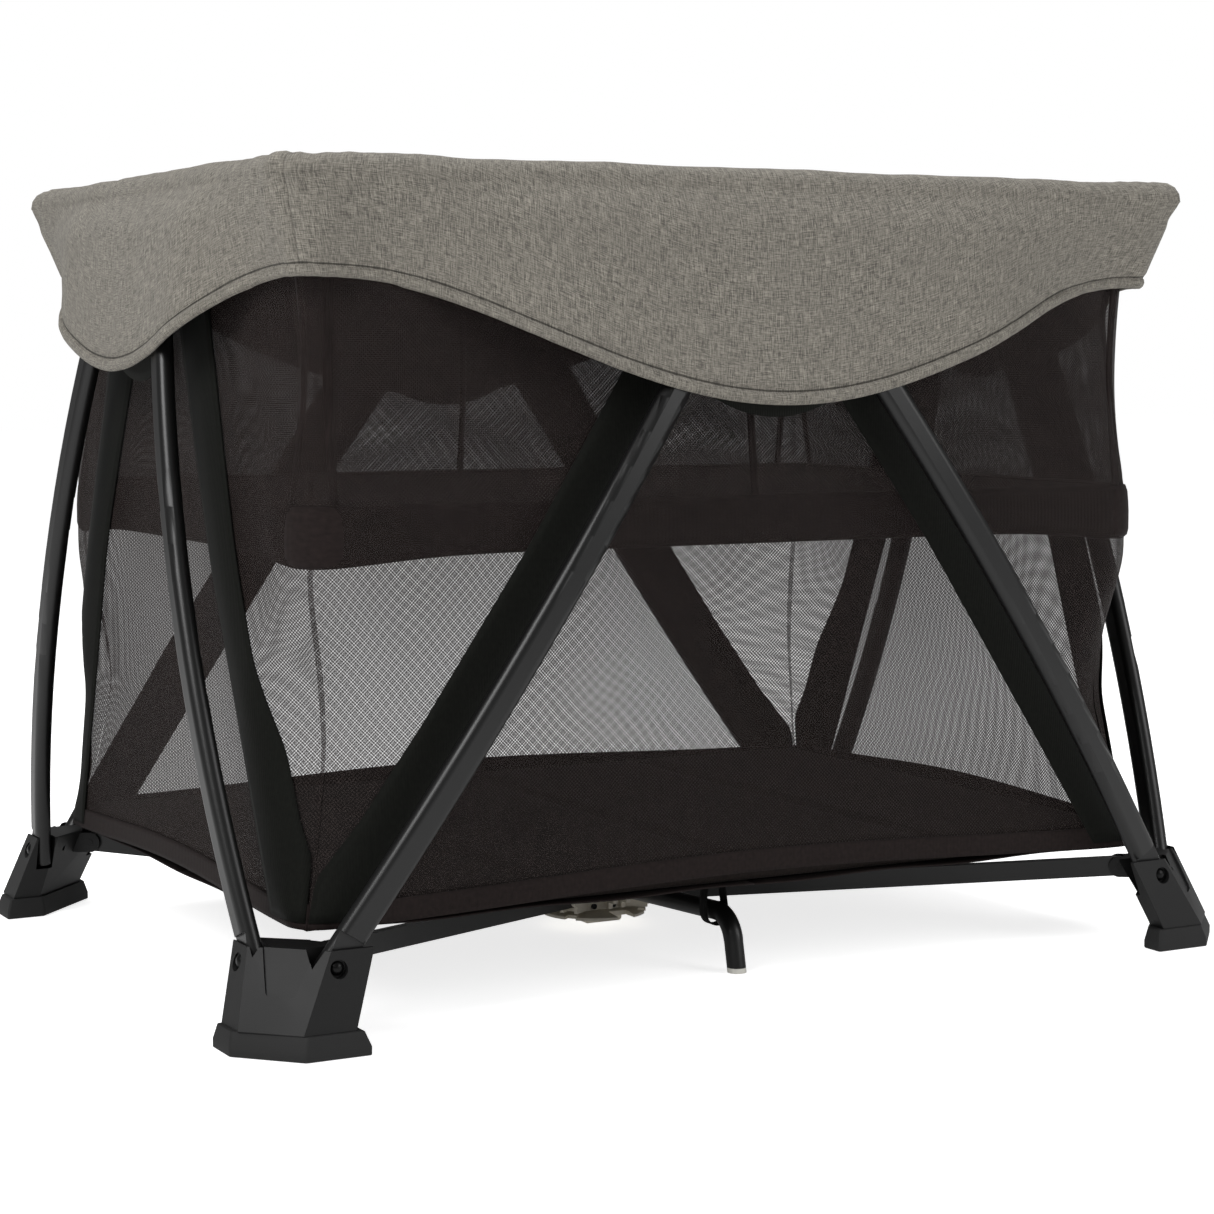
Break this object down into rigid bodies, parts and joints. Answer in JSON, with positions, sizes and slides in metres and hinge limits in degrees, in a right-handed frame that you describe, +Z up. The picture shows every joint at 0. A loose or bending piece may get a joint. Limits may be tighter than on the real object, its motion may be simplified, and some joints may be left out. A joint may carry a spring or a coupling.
{
  "type": "travel play yard",
  "caption": "Folding travel cot with oval splayed legs, angled feet, mesh sides, raised bassinet and a padded grey rail cover with a scalloped hem.",
  "frame": {"origin": "centre of the plan, on the floor that the feet stand on", "axes": "+X along the long side, +Y across it, +Z up"},
  "size_m": [1.132, 0.842, 0.806],
  "materials": {
    "hub_plastic": "moulded light grey plastic",
    "black_steel_pins": "black oxide steel",
    "webbing": "woven polyester webbing",
    "black_tube": "satin black powder coat over aluminium",
    "rail_tube": "black coated rail tube",
    "white_cap": "white moulded cap",
    "sole_rubber": "black rubber-like sole",
    "black_plastic": "satin black moulded plastic",
    "cover_fabric": "grey melange woven polyester, padded",
    "mesh_fabric": "brown-black warp-knit mesh",
    "dark_fabric": "dark knitted polyester"
  },
  "bodies": {
    "floor_hub": {"hub_housing": "hub_plastic", "hub_core": "hub_plastic", "hub_pins": "black_steel_pins", "webbing_straps": "webbing", "floor_panel": "dark_fabric"},
    "mattress": {"mattress": "dark_fabric"},
    "bassinet": {"bassinet_tray": "dark_fabric", "bassinet_liner": "mesh_fabric"},
    "bar_fl": {"floor_bar_fl": "black_tube"},
    "bar_fr": {"floor_bar_fr": "black_tube"},
    "bar_bl": {"floor_bar_bl": "black_tube"},
    "bar_br": {"floor_bar_br": "black_tube"},
    "foot_fl": {"foot_fl": "black_plastic", "foot_sole_fl": "sole_rubber", "foot_rivets_fl": "black_steel_pins"},
    "foot_fr": {"foot_fr": "black_plastic", "foot_sole_fr": "sole_rubber", "foot_rivets_fr": "black_steel_pins"},
    "foot_bl": {"foot_bl": "black_plastic", "foot_sole_bl": "sole_rubber", "foot_rivets_bl": "black_steel_pins"},
    "foot_br": {"foot_br": "black_plastic", "foot_sole_br": "sole_rubber", "foot_rivets_br": "black_steel_pins"},
    "long_leg_fl": {"long_leg_fl": "black_tube"},
    "short_leg_fl": {"short_leg_fl": "black_tube"},
    "long_leg_fr": {"long_leg_fr": "black_tube"},
    "short_leg_fr": {"short_leg_fr": "black_tube"},
    "long_leg_bl": {"long_leg_bl": "black_tube"},
    "short_leg_bl": {"short_leg_bl": "black_tube"},
    "long_leg_br": {"long_leg_br": "black_tube"},
    "short_leg_br": {"short_leg_br": "black_tube"},
    "long_hub_front": {"long_hub_front": "black_plastic", "cover_front": "cover_fabric", "mesh_wall_front": "mesh_fabric"},
    "long_hub_back": {"long_hub_back": "black_plastic", "cover_back": "cover_fabric", "mesh_wall_back": "mesh_fabric"},
    "short_hub_left": {"short_hub_left": "black_plastic", "cover_left": "cover_fabric", "mesh_wall_left": "mesh_fabric"},
    "short_hub_right": {"short_hub_right": "black_plastic", "cover_right": "cover_fabric", "mesh_wall_right": "mesh_fabric"},
    "long_rail_fl": {"long_rail_fl": "rail_tube", "corner_cap_fl": "black_plastic"},
    "short_rail_fl": {"short_rail_fl": "rail_tube"},
    "long_rail_fr": {"long_rail_fr": "rail_tube", "corner_cap_fr": "black_plastic"},
    "short_rail_fr": {"short_rail_fr": "rail_tube"},
    "long_rail_bl": {"long_rail_bl": "rail_tube", "corner_cap_bl": "black_plastic"},
    "short_rail_bl": {"short_rail_bl": "rail_tube"},
    "long_rail_br": {"long_rail_br": "rail_tube", "corner_cap_br": "black_plastic"},
    "short_rail_br": {"short_rail_br": "rail_tube"},
    "support_leg_front": {"support_leg_front": "black_tube", "support_cap_front": "white_cap"},
    "support_leg_back": {"support_leg_back": "black_tube", "support_cap_back": "white_cap"}
  },
  "joints": [
    {"name": "fold_bar_fl", "type": "hinge", "parent": "floor_hub", "child": "bar_fl", "pos_m": [-0.0496, -0.03602, 0.038], "axis": [0.5875, -0.8092, 0], "range_deg": [0, 94.44], "deforming": ["cover_front", "cover_back", "cover_left", "cover_right", "mesh_wall_front", "mesh_wall_back", "mesh_wall_left", "mesh_wall_right", "floor_panel", "mattress", "bassinet_tray", "bassinet_liner", "webbing_straps"]},
    {"name": "fold_bar_fr", "type": "hinge", "parent": "floor_hub", "child": "bar_fr", "pos_m": [0.0496, -0.03602, 0.038], "axis": [0.5875, 0.8092, 0], "range_deg": [0, 94.45]},
    {"name": "fold_bar_bl", "type": "hinge", "parent": "floor_hub", "child": "bar_bl", "pos_m": [-0.0496, 0.03602, 0.038], "axis": [-0.5875, -0.8092, 0], "range_deg": [0, 94.45]},
    {"name": "fold_bar_br", "type": "hinge", "parent": "floor_hub", "child": "bar_br", "pos_m": [0.0496, 0.03602, 0.038], "axis": [-0.5875, 0.8092, 0], "range_deg": [0, 94.45]},
    {"name": "foot_pivot_fl", "type": "hinge", "parent": "bar_fl", "child": "foot_fl", "pos_m": [-0.4629, -0.3361, 0.0777], "axis": [-0.5875, 0.8092, 0], "range_deg": [0, 94.45]},
    {"name": "foot_pivot_fr", "type": "hinge", "parent": "bar_fr", "child": "foot_fr", "pos_m": [0.4629, -0.3361, 0.0777], "axis": [-0.5875, -0.8092, 0], "range_deg": [0, 94.45]},
    {"name": "foot_pivot_bl", "type": "hinge", "parent": "bar_bl", "child": "foot_bl", "pos_m": [-0.4629, 0.3361, 0.0777], "axis": [0.5875, 0.8092, 0], "range_deg": [0, 94.45]},
    {"name": "foot_pivot_br", "type": "hinge", "parent": "bar_br", "child": "foot_br", "pos_m": [0.4629, 0.3361, 0.0777], "axis": [0.5875, -0.8092, 0], "range_deg": [0, 94.45]},
    {"name": "long_leg_pivot_fl", "type": "hinge", "parent": "foot_fl", "child": "long_leg_fl", "pos_m": [-0.4723, -0.3794, 0.076], "axis": [0, -1, 0], "range_deg": [0, 33.14]},
    {"name": "short_leg_pivot_fl", "type": "hinge", "parent": "foot_fl", "child": "short_leg_fl", "pos_m": [-0.5258, -0.3241, 0.076], "axis": [1, 0, 0], "range_deg": [0, 25.68]},
    {"name": "long_leg_pivot_fr", "type": "hinge", "parent": "foot_fr", "child": "long_leg_fr", "pos_m": [0.4723, -0.3794, 0.076], "axis": [0, 1, 0], "range_deg": [0, 33.14]},
    {"name": "short_leg_pivot_fr", "type": "hinge", "parent": "foot_fr", "child": "short_leg_fr", "pos_m": [0.5258, -0.3241, 0.076], "axis": [1, 0, 0], "range_deg": [0, 25.68]},
    {"name": "long_leg_pivot_bl", "type": "hinge", "parent": "foot_bl", "child": "long_leg_bl", "pos_m": [-0.4723, 0.3794, 0.076], "axis": [0, -1, 0], "range_deg": [0, 33.14]},
    {"name": "short_leg_pivot_bl", "type": "hinge", "parent": "foot_bl", "child": "short_leg_bl", "pos_m": [-0.5258, 0.3241, 0.076], "axis": [-1, 0, 0], "range_deg": [0, 25.68]},
    {"name": "long_leg_pivot_br", "type": "hinge", "parent": "foot_br", "child": "long_leg_br", "pos_m": [0.4723, 0.3794, 0.076], "axis": [0, 1, 0], "range_deg": [0, 33.14]},
    {"name": "short_leg_pivot_br", "type": "hinge", "parent": "foot_br", "child": "short_leg_br", "pos_m": [0.5258, 0.3241, 0.076], "axis": [-1, 0, 0], "range_deg": [0, 25.68]},
    {"name": "long_hub_pivot_front", "type": "hinge", "parent": "long_leg_fl", "child": "long_hub_front", "pos_m": [-0.045, -0.372, 0.705], "axis": [0, 1, 0], "range_deg": [0, 33.14]},
    {"name": "long_hub_pivot_back", "type": "hinge", "parent": "long_leg_br", "child": "long_hub_back", "pos_m": [0.045, 0.372, 0.705], "axis": [0, -1, 0], "range_deg": [0, 33.14]},
    {"name": "short_hub_pivot_left", "type": "hinge", "parent": "short_leg_bl", "child": "short_hub_left", "pos_m": [-0.516, 0.075, 0.712], "axis": [1, 0, 0], "range_deg": [0, 25.68]},
    {"name": "short_hub_pivot_right", "type": "hinge", "parent": "short_leg_fr", "child": "short_hub_right", "pos_m": [0.516, -0.075, 0.712], "axis": [-1, 0, 0], "range_deg": [0, 25.68]},
    {"name": "long_rail_hinge_fl", "type": "hinge", "parent": "long_hub_front", "child": "long_rail_fl", "pos_m": [-0.075, -0.352, 0.788], "axis": [0, -1, 0], "range_deg": [0, 90.01]},
    {"name": "short_rail_hinge_fl", "type": "hinge", "parent": "short_hub_left", "child": "short_rail_fl", "pos_m": [-0.492, -0.013, 0.788], "axis": [1, 0, 0], "range_deg": [0, 90.01]},
    {"name": "long_rail_hinge_fr", "type": "hinge", "parent": "long_hub_front", "child": "long_rail_fr", "pos_m": [0.075, -0.352, 0.788], "axis": [0, 1, 0], "range_deg": [0, 90.01]},
    {"name": "short_rail_hinge_fr", "type": "hinge", "parent": "short_hub_right", "child": "short_rail_fr", "pos_m": [0.492, -0.013, 0.788], "axis": [1, 0, 0], "range_deg": [0, 90.01]},
    {"name": "long_rail_hinge_bl", "type": "hinge", "parent": "long_hub_back", "child": "long_rail_bl", "pos_m": [-0.075, 0.352, 0.788], "axis": [0, -1, 0], "range_deg": [0, 90.01]},
    {"name": "short_rail_hinge_bl", "type": "hinge", "parent": "short_hub_left", "child": "short_rail_bl", "pos_m": [-0.492, 0.013, 0.788], "axis": [-1, 0, 0], "range_deg": [0, 90.01]},
    {"name": "long_rail_hinge_br", "type": "hinge", "parent": "long_hub_back", "child": "long_rail_br", "pos_m": [0.075, 0.352, 0.788], "axis": [0, 1, 0], "range_deg": [0, 90.01]},
    {"name": "short_rail_hinge_br", "type": "hinge", "parent": "short_hub_right", "child": "short_rail_br", "pos_m": [0.492, 0.013, 0.788], "axis": [-1, 0, 0], "range_deg": [0, 90.01]},
    {"name": "support_leg_hinge_front", "type": "hinge", "parent": "floor_hub", "child": "support_leg_front", "pos_m": [0.011, -0.046, 0.046], "axis": [1, 0, 0], "range_deg": [0, 85.01]},
    {"name": "support_leg_hinge_back", "type": "hinge", "parent": "floor_hub", "child": "support_leg_back", "pos_m": [-0.011, 0.046, 0.046], "axis": [-1, 0, 0], "range_deg": [0, 85.01]},
    {"name": "mattress_stow", "type": "slide", "parent": "floor_hub", "child": "mattress", "axis": [0, 0, 1], "range_m": [0, 0.301]},
    {"name": "bassinet_lift_out", "type": "slide", "parent": "floor_hub", "child": "bassinet", "axis": [0, 0, 1], "range_m": [0, 0.46]}
  ],
  "couplings": [
    {"joint": "fold_bar_fr", "follows": "fold_bar_fl", "ratio": 1},
    {"joint": "fold_bar_bl", "follows": "fold_bar_fl", "ratio": 1},
    {"joint": "fold_bar_br", "follows": "fold_bar_fl", "ratio": 1},
    {"joint": "foot_pivot_fl", "follows": "fold_bar_fl", "ratio": 1},
    {"joint": "foot_pivot_fr", "follows": "fold_bar_fl", "ratio": 1},
    {"joint": "foot_pivot_bl", "follows": "fold_bar_fl", "ratio": 1},
    {"joint": "foot_pivot_br", "follows": "fold_bar_fl", "ratio": 1},
    {"joint": "long_leg_pivot_fl", "follows": "fold_bar_fl", "ratio": 0.35085},
    {"joint": "short_leg_pivot_fl", "follows": "fold_bar_fl", "ratio": 0.2718},
    {"joint": "long_leg_pivot_fr", "follows": "fold_bar_fl", "ratio": 0.35085},
    {"joint": "short_leg_pivot_fr", "follows": "fold_bar_fl", "ratio": 0.2718},
    {"joint": "long_leg_pivot_bl", "follows": "fold_bar_fl", "ratio": 0.35085},
    {"joint": "short_leg_pivot_bl", "follows": "fold_bar_fl", "ratio": 0.2718},
    {"joint": "long_leg_pivot_br", "follows": "fold_bar_fl", "ratio": 0.35085},
    {"joint": "short_leg_pivot_br", "follows": "fold_bar_fl", "ratio": 0.2718},
    {"joint": "long_hub_pivot_front", "follows": "fold_bar_fl", "ratio": 0.35085},
    {"joint": "long_hub_pivot_back", "follows": "fold_bar_fl", "ratio": 0.35085},
    {"joint": "short_hub_pivot_left", "follows": "fold_bar_fl", "ratio": 0.2718},
    {"joint": "short_hub_pivot_right", "follows": "fold_bar_fl", "ratio": 0.2718},
    {"joint": "long_rail_hinge_fl", "follows": "fold_bar_fl", "ratio": 0.95299},
    {"joint": "short_rail_hinge_fl", "follows": "fold_bar_fl", "ratio": 0.95299},
    {"joint": "long_rail_hinge_fr", "follows": "fold_bar_fl", "ratio": 0.95299},
    {"joint": "short_rail_hinge_fr", "follows": "fold_bar_fl", "ratio": 0.95299},
    {"joint": "long_rail_hinge_bl", "follows": "fold_bar_fl", "ratio": 0.95299},
    {"joint": "short_rail_hinge_bl", "follows": "fold_bar_fl", "ratio": 0.95299},
    {"joint": "long_rail_hinge_br", "follows": "fold_bar_fl", "ratio": 0.95299},
    {"joint": "short_rail_hinge_br", "follows": "fold_bar_fl", "ratio": 0.95299},
    {"joint": "support_leg_hinge_front", "follows": "fold_bar_fl", "ratio": 0.90004},
    {"joint": "support_leg_hinge_back", "follows": "fold_bar_fl", "ratio": 0.90004},
    {"joint": "mattress_stow", "follows": "fold_bar_fl", "m_per_rad": 0.18201}
  ]
}
